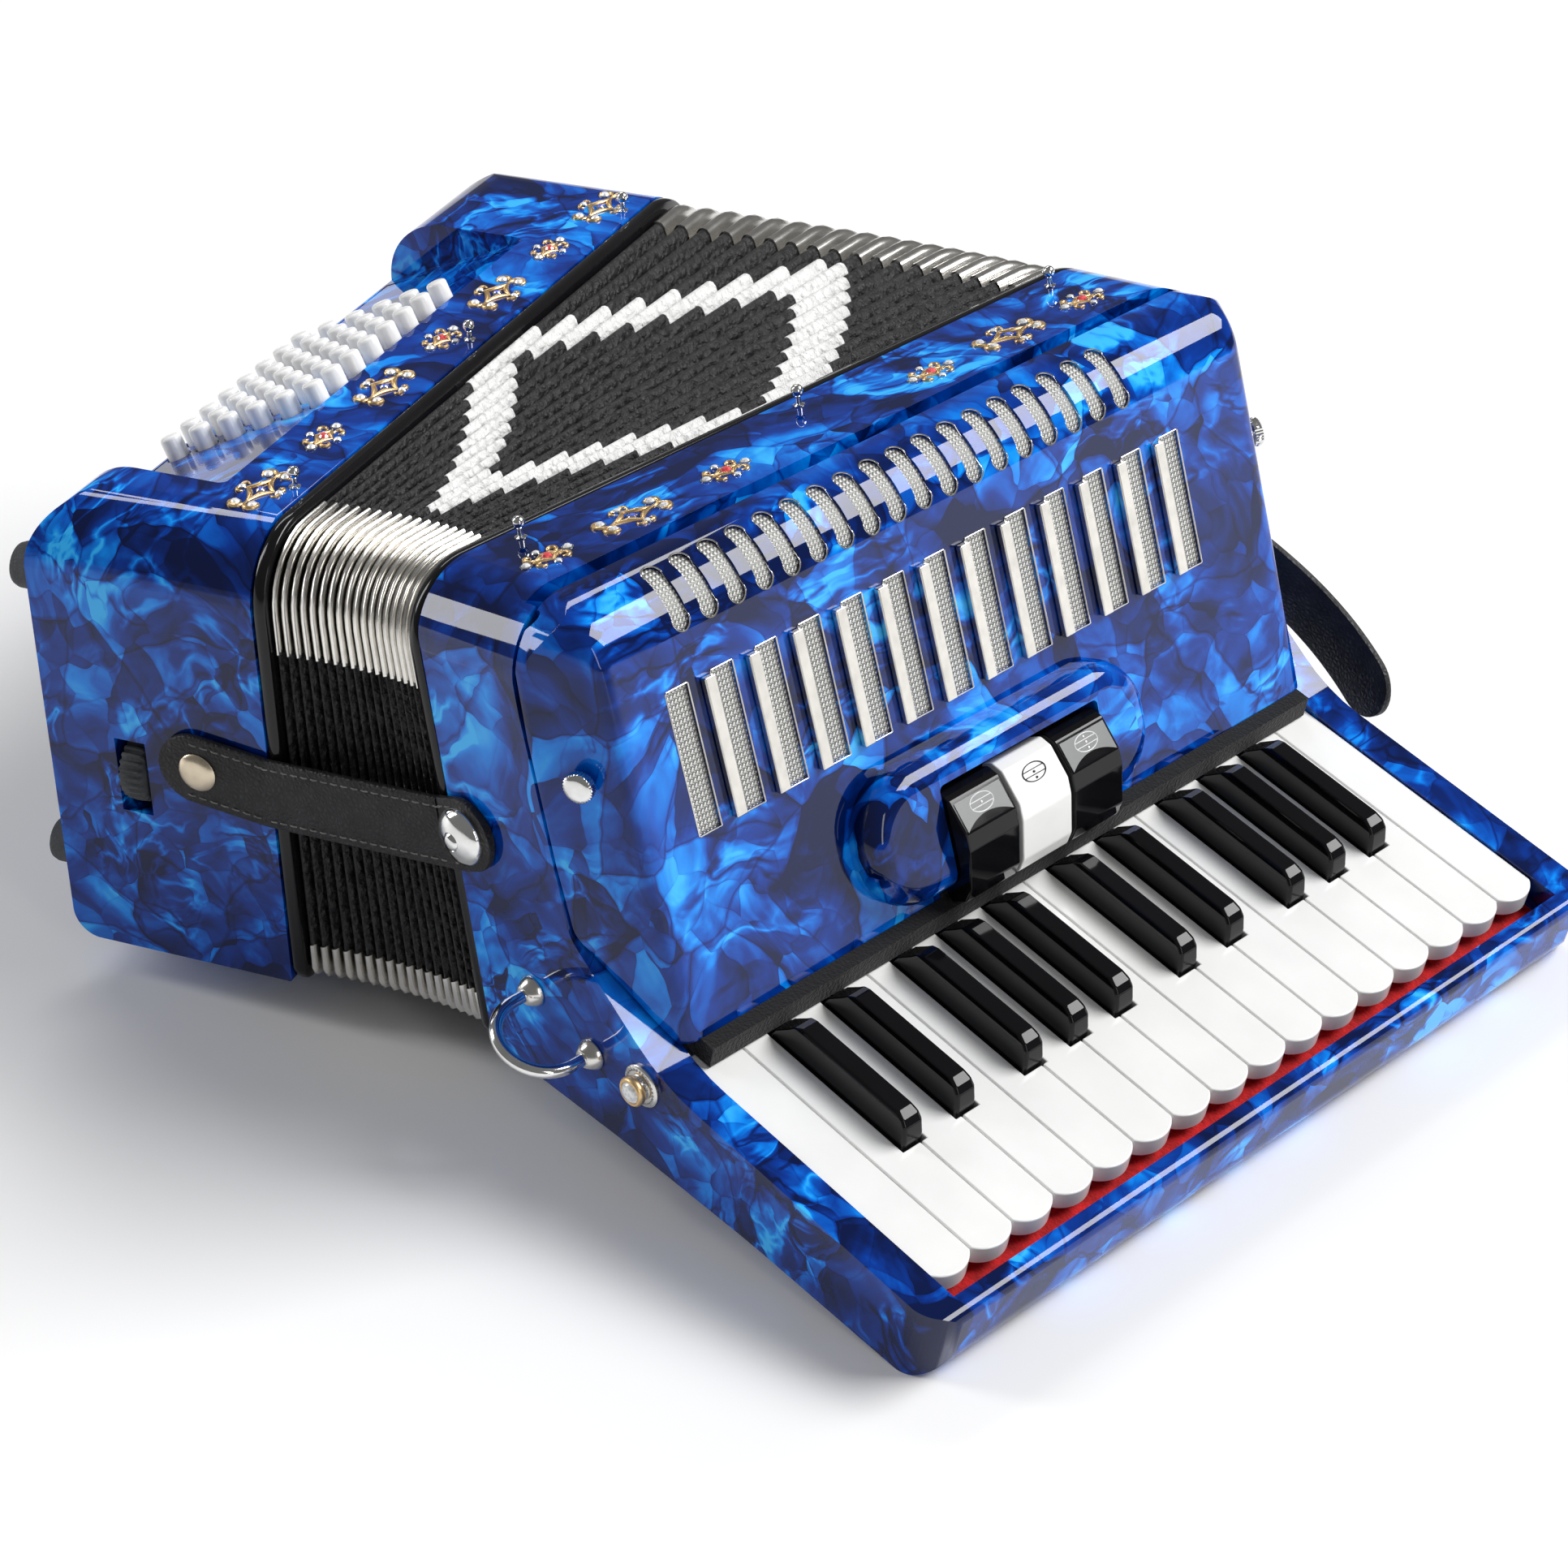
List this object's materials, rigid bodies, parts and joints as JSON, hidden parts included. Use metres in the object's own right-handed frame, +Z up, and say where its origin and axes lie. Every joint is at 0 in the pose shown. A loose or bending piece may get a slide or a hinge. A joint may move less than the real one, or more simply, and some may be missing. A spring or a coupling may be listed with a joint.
{
  "type": "piano accordion",
  "caption": "Small button-bass piano accordion with fanned bellows: pressing keys, registers and bass buttons move, bellows swing shut, loose strap turns.",
  "frame": {"origin": "on the floor, under the middle of the bounding box", "axes": "+Z up; +X towards the keyboard tips; +Y along the keyboard from the low-strap chin end to the far end"},
  "size_m": [0.499, 0.4048, 0.1981],
  "materials": {
    "pearl_blue": "glossy pearlescent celluloid",
    "white_key": "polished",
    "black_key": "polished",
    "chrome": "polished",
    "metal_mesh": "woven",
    "red_felt": "felt",
    "black_felt": "felt",
    "black_leather": "satin",
    "bellows_cloth": "grained leathercloth",
    "frame_black": "black lacquer",
    "white_button": "polished",
    "reed_wood": "bare wood",
    "steel": "drawn",
    "rubber": "matt"
  },
  "bodies": {
    "treble": {"treble_casing": "pearl_blue", "treble_grille": "pearl_blue", "grille_mesh": "metal_mesh", "grille_bars": "chrome", "treble_reed_block": "reed_wood", "treble_bellows_frame": "frame_black", "key_axle": "steel", "key_bed_felt": "red_felt", "grille_felt": "black_felt", "strap_ring_near": "chrome", "strap_ring_far": "chrome"},
    "bass": {"bass_casing": "pearl_blue", "bass_cover": "pearl_blue", "bass_button_board": "pearl_blue", "bass_reed_block": "reed_wood", "bass_bellows_frame": "frame_black", "hand_strap": "black_leather", "bass_feet": "rubber", "top_bellows_strap": "black_leather"},
    "bellows_1": {"bellows_section_1": "bellows_cloth"},
    "bellows_2": {"bellows_section_2": "bellows_cloth"},
    "bellows_3": {"bellows_section_3": "bellows_cloth"},
    "register_1": {"register_switch_1": "black_key"},
    "register_2": {"register_switch_2": "white_key"},
    "register_3": {"register_switch_3": "black_key"},
    "button_row_1": {"bass_button_row_1": "white_button"},
    "button_row_2": {"bass_button_row_2": "white_button"},
    "button_row_3": {"bass_button_row_3": "white_button"},
    "button_row_4": {"bass_button_row_4": "white_button"},
    "button_row_5": {"bass_button_row_5": "white_button"},
    "button_row_6": {"bass_button_row_6": "white_button"},
    "air_valve": {"air_button": "white_button"},
    "thumb_wheel": {"strap_wheel": "rubber"},
    "loose_strap": {"bottom_bellows_strap": "black_leather"},
    "white_key_01": {"white_key_01": "white_key"},
    "white_key_02": {"white_key_02": "white_key"},
    "black_key_01": {"black_key_01": "black_key"},
    "white_key_03": {"white_key_03": "white_key"},
    "black_key_02": {"black_key_02": "black_key"},
    "white_key_04": {"white_key_04": "white_key"},
    "white_key_05": {"white_key_05": "white_key"},
    "black_key_03": {"black_key_03": "black_key"},
    "white_key_06": {"white_key_06": "white_key"},
    "black_key_04": {"black_key_04": "black_key"},
    "white_key_07": {"white_key_07": "white_key"},
    "black_key_05": {"black_key_05": "black_key"},
    "white_key_08": {"white_key_08": "white_key"},
    "white_key_09": {"white_key_09": "white_key"},
    "black_key_06": {"black_key_06": "black_key"},
    "white_key_10": {"white_key_10": "white_key"},
    "black_key_07": {"black_key_07": "black_key"},
    "white_key_11": {"white_key_11": "white_key"},
    "white_key_12": {"white_key_12": "white_key"},
    "black_key_08": {"black_key_08": "black_key"},
    "white_key_13": {"white_key_13": "white_key"},
    "black_key_09": {"black_key_09": "black_key"},
    "white_key_14": {"white_key_14": "white_key"},
    "black_key_10": {"black_key_10": "black_key"},
    "white_key_15": {"white_key_15": "white_key"},
    "white_key_16": {"white_key_16": "white_key"}
  },
  "joints": [
    {"name": "bellows_fan", "type": "hinge", "parent": "treble", "child": "bass", "pos_m": [0.02365, -0.20883, 0.03993], "axis": [-0.1641, 0.3017, 0.9392], "range_deg": [-23.3, 0]},
    {"name": "bellows_fold_1", "type": "hinge", "parent": "treble", "child": "bellows_1", "pos_m": [0.02365, -0.20883, 0.03993], "axis": [-0.1641, 0.3017, 0.9392], "range_deg": [-3.9, 0]},
    {"name": "bellows_fold_2", "type": "hinge", "parent": "treble", "child": "bellows_2", "pos_m": [0.02365, -0.20883, 0.03993], "axis": [-0.1641, 0.3017, 0.9392], "range_deg": [-11.67, 0]},
    {"name": "bellows_fold_3", "type": "hinge", "parent": "treble", "child": "bellows_3", "pos_m": [0.02365, -0.20883, 0.03993], "axis": [-0.1641, 0.3017, 0.9392], "range_deg": [-19.44, 0]},
    {"name": "register_1_press", "type": "hinge", "parent": "treble", "child": "register_1", "pos_m": [0.12178, -0.01047, 0.09963], "axis": [0, 1, 0], "range_deg": [0, 4], "stiffness_Nm_per_rad": 0.05, "springref_deg": -11.46},
    {"name": "register_2_press", "type": "hinge", "parent": "treble", "child": "register_2", "pos_m": [0.12178, 0.01473, 0.09963], "axis": [0, 1, 0], "range_deg": [0, 4], "stiffness_Nm_per_rad": 0.05, "springref_deg": -11.46},
    {"name": "register_3_press", "type": "hinge", "parent": "treble", "child": "register_3", "pos_m": [0.12178, 0.03993, 0.09963], "axis": [0, 1, 0], "range_deg": [0, 4], "stiffness_Nm_per_rad": 0.05, "springref_deg": -11.46},
    {"name": "button_row_1_press", "type": "slide", "parent": "bass", "child": "button_row_1", "axis": [0.4062, 0.1239, -0.9053], "range_m": [0, 0.0035], "stiffness_N_per_m": 150, "springref_m": -0.006},
    {"name": "button_row_2_press", "type": "slide", "parent": "bass", "child": "button_row_2", "axis": [0.4062, 0.1239, -0.9053], "range_m": [0, 0.0035], "stiffness_N_per_m": 150, "springref_m": -0.006},
    {"name": "button_row_3_press", "type": "slide", "parent": "bass", "child": "button_row_3", "axis": [0.4062, 0.1239, -0.9053], "range_m": [0, 0.0035], "stiffness_N_per_m": 150, "springref_m": -0.006},
    {"name": "button_row_4_press", "type": "slide", "parent": "bass", "child": "button_row_4", "axis": [0.4062, 0.1239, -0.9053], "range_m": [0, 0.0035], "stiffness_N_per_m": 150, "springref_m": -0.006},
    {"name": "button_row_5_press", "type": "slide", "parent": "bass", "child": "button_row_5", "axis": [0.4062, 0.1239, -0.9053], "range_m": [0, 0.0035], "stiffness_N_per_m": 150, "springref_m": -0.006},
    {"name": "button_row_6_press", "type": "slide", "parent": "bass", "child": "button_row_6", "axis": [0.4062, 0.1239, -0.9053], "range_m": [0, 0.0035], "stiffness_N_per_m": 150, "springref_m": -0.006},
    {"name": "air_button_press", "type": "slide", "parent": "bass", "child": "air_valve", "axis": [0.9253, 0.3771, 0.0405], "range_m": [0, 0.003], "stiffness_N_per_m": 50, "springref_m": -0.008},
    {"name": "strap_wheel_turn", "type": "hinge", "parent": "bass", "child": "thumb_wheel", "pos_m": [-0.09456, -0.18127, 0.08405], "axis": [0.9253, 0.3771, 0.0405], "continuous": true},
    {"name": "loose_strap_swing", "type": "hinge", "parent": "treble", "child": "loose_strap", "pos_m": [0.06081, 0.17653, 0.0992], "axis": [0, 1, 0], "range_deg": [-223, 0]},
    {"name": "white_key_01_press", "type": "hinge", "parent": "treble", "child": "white_key_01", "pos_m": [0.10864, -0.12577, 0.05008], "axis": [0, 1, 0], "range_deg": [0, 1.8], "stiffness_Nm_per_rad": 0.6, "springref_deg": -6.88},
    {"name": "white_key_02_press", "type": "hinge", "parent": "treble", "child": "white_key_02", "pos_m": [0.10864, -0.11092, 0.05008], "axis": [0, 1, 0], "range_deg": [0, 1.8], "stiffness_Nm_per_rad": 0.6, "springref_deg": -6.88},
    {"name": "black_key_01_press", "type": "hinge", "parent": "treble", "child": "black_key_01", "pos_m": [0.10864, -0.10047, 0.05008], "axis": [0, 1, 0], "range_deg": [0, 1.8], "stiffness_Nm_per_rad": 0.6, "springref_deg": -6.88},
    {"name": "white_key_03_press", "type": "hinge", "parent": "treble", "child": "white_key_03", "pos_m": [0.10864, -0.08857, 0.05008], "axis": [0, 1, 0], "range_deg": [0, 1.8], "stiffness_Nm_per_rad": 0.6, "springref_deg": -6.88},
    {"name": "black_key_02_press", "type": "hinge", "parent": "treble", "child": "black_key_02", "pos_m": [0.10864, -0.07667, 0.05008], "axis": [0, 1, 0], "range_deg": [0, 1.8], "stiffness_Nm_per_rad": 0.6, "springref_deg": -6.88},
    {"name": "white_key_04_press", "type": "hinge", "parent": "treble", "child": "white_key_04", "pos_m": [0.10864, -0.06622, 0.05008], "axis": [0, 1, 0], "range_deg": [0, 1.8], "stiffness_Nm_per_rad": 0.6, "springref_deg": -6.88},
    {"name": "white_key_05_press", "type": "hinge", "parent": "treble", "child": "white_key_05", "pos_m": [0.10864, -0.05532, 0.05008], "axis": [0, 1, 0], "range_deg": [0, 1.8], "stiffness_Nm_per_rad": 0.6, "springref_deg": -6.88},
    {"name": "black_key_03_press", "type": "hinge", "parent": "treble", "child": "black_key_03", "pos_m": [0.10864, -0.04507, 0.05008], "axis": [0, 1, 0], "range_deg": [0, 1.8], "stiffness_Nm_per_rad": 0.6, "springref_deg": -6.88},
    {"name": "white_key_06_press", "type": "hinge", "parent": "treble", "child": "white_key_06", "pos_m": [0.10864, -0.03427, 0.05008], "axis": [0, 1, 0], "range_deg": [0, 1.8], "stiffness_Nm_per_rad": 0.6, "springref_deg": -6.88},
    {"name": "black_key_04_press", "type": "hinge", "parent": "treble", "child": "black_key_04", "pos_m": [0.10864, -0.02347, 0.05008], "axis": [0, 1, 0], "range_deg": [0, 1.8], "stiffness_Nm_per_rad": 0.6, "springref_deg": -6.88},
    {"name": "white_key_07_press", "type": "hinge", "parent": "treble", "child": "white_key_07", "pos_m": [0.10864, -0.01267, 0.05008], "axis": [0, 1, 0], "range_deg": [0, 1.8], "stiffness_Nm_per_rad": 0.6, "springref_deg": -6.88},
    {"name": "black_key_05_press", "type": "hinge", "parent": "treble", "child": "black_key_05", "pos_m": [0.10864, -0.00187, 0.05008], "axis": [0, 1, 0], "range_deg": [0, 1.8], "stiffness_Nm_per_rad": 0.6, "springref_deg": -6.88},
    {"name": "white_key_08_press", "type": "hinge", "parent": "treble", "child": "white_key_08", "pos_m": [0.10864, 0.00838, 0.05008], "axis": [0, 1, 0], "range_deg": [0, 1.8], "stiffness_Nm_per_rad": 0.6, "springref_deg": -6.88},
    {"name": "white_key_09_press", "type": "hinge", "parent": "treble", "child": "white_key_09", "pos_m": [0.10864, 0.01928, 0.05008], "axis": [0, 1, 0], "range_deg": [0, 1.8], "stiffness_Nm_per_rad": 0.6, "springref_deg": -6.88},
    {"name": "black_key_06_press", "type": "hinge", "parent": "treble", "child": "black_key_06", "pos_m": [0.10864, 0.02973, 0.05008], "axis": [0, 1, 0], "range_deg": [0, 1.8], "stiffness_Nm_per_rad": 0.6, "springref_deg": -6.88},
    {"name": "white_key_10_press", "type": "hinge", "parent": "treble", "child": "white_key_10", "pos_m": [0.10864, 0.04163, 0.05008], "axis": [0, 1, 0], "range_deg": [0, 1.8], "stiffness_Nm_per_rad": 0.6, "springref_deg": -6.88},
    {"name": "black_key_07_press", "type": "hinge", "parent": "treble", "child": "black_key_07", "pos_m": [0.10864, 0.05353, 0.05008], "axis": [0, 1, 0], "range_deg": [0, 1.8], "stiffness_Nm_per_rad": 0.6, "springref_deg": -6.88},
    {"name": "white_key_11_press", "type": "hinge", "parent": "treble", "child": "white_key_11", "pos_m": [0.10864, 0.06398, 0.05008], "axis": [0, 1, 0], "range_deg": [0, 1.8], "stiffness_Nm_per_rad": 0.6, "springref_deg": -6.88},
    {"name": "white_key_12_press", "type": "hinge", "parent": "treble", "child": "white_key_12", "pos_m": [0.10864, 0.07488, 0.05008], "axis": [0, 1, 0], "range_deg": [0, 1.8], "stiffness_Nm_per_rad": 0.6, "springref_deg": -6.88},
    {"name": "black_key_08_press", "type": "hinge", "parent": "treble", "child": "black_key_08", "pos_m": [0.10864, 0.08513, 0.05008], "axis": [0, 1, 0], "range_deg": [0, 1.8], "stiffness_Nm_per_rad": 0.6, "springref_deg": -6.88},
    {"name": "white_key_13_press", "type": "hinge", "parent": "treble", "child": "white_key_13", "pos_m": [0.10864, 0.09593, 0.05008], "axis": [0, 1, 0], "range_deg": [0, 1.8], "stiffness_Nm_per_rad": 0.6, "springref_deg": -6.88},
    {"name": "black_key_09_press", "type": "hinge", "parent": "treble", "child": "black_key_09", "pos_m": [0.10864, 0.10673, 0.05008], "axis": [0, 1, 0], "range_deg": [0, 1.8], "stiffness_Nm_per_rad": 0.6, "springref_deg": -6.88},
    {"name": "white_key_14_press", "type": "hinge", "parent": "treble", "child": "white_key_14", "pos_m": [0.10864, 0.11753, 0.05008], "axis": [0, 1, 0], "range_deg": [0, 1.8], "stiffness_Nm_per_rad": 0.6, "springref_deg": -6.88},
    {"name": "black_key_10_press", "type": "hinge", "parent": "treble", "child": "black_key_10", "pos_m": [0.10864, 0.12833, 0.05008], "axis": [0, 1, 0], "range_deg": [0, 1.8], "stiffness_Nm_per_rad": 0.6, "springref_deg": -6.88},
    {"name": "white_key_15_press", "type": "hinge", "parent": "treble", "child": "white_key_15", "pos_m": [0.10864, 0.13858, 0.05008], "axis": [0, 1, 0], "range_deg": [0, 1.8], "stiffness_Nm_per_rad": 0.6, "springref_deg": -6.88},
    {"name": "white_key_16_press", "type": "hinge", "parent": "treble", "child": "white_key_16", "pos_m": [0.10864, 0.15323, 0.05008], "axis": [0, 1, 0], "range_deg": [0, 1.8], "stiffness_Nm_per_rad": 0.6, "springref_deg": -6.88}
  ],
  "couplings": [
    {"joint": "bellows_fold_1", "follows": "bellows_fan", "ratio": 0.16667},
    {"joint": "bellows_fold_2", "follows": "bellows_fan", "ratio": 0.5},
    {"joint": "bellows_fold_3", "follows": "bellows_fan", "ratio": 0.83333}
  ]
}
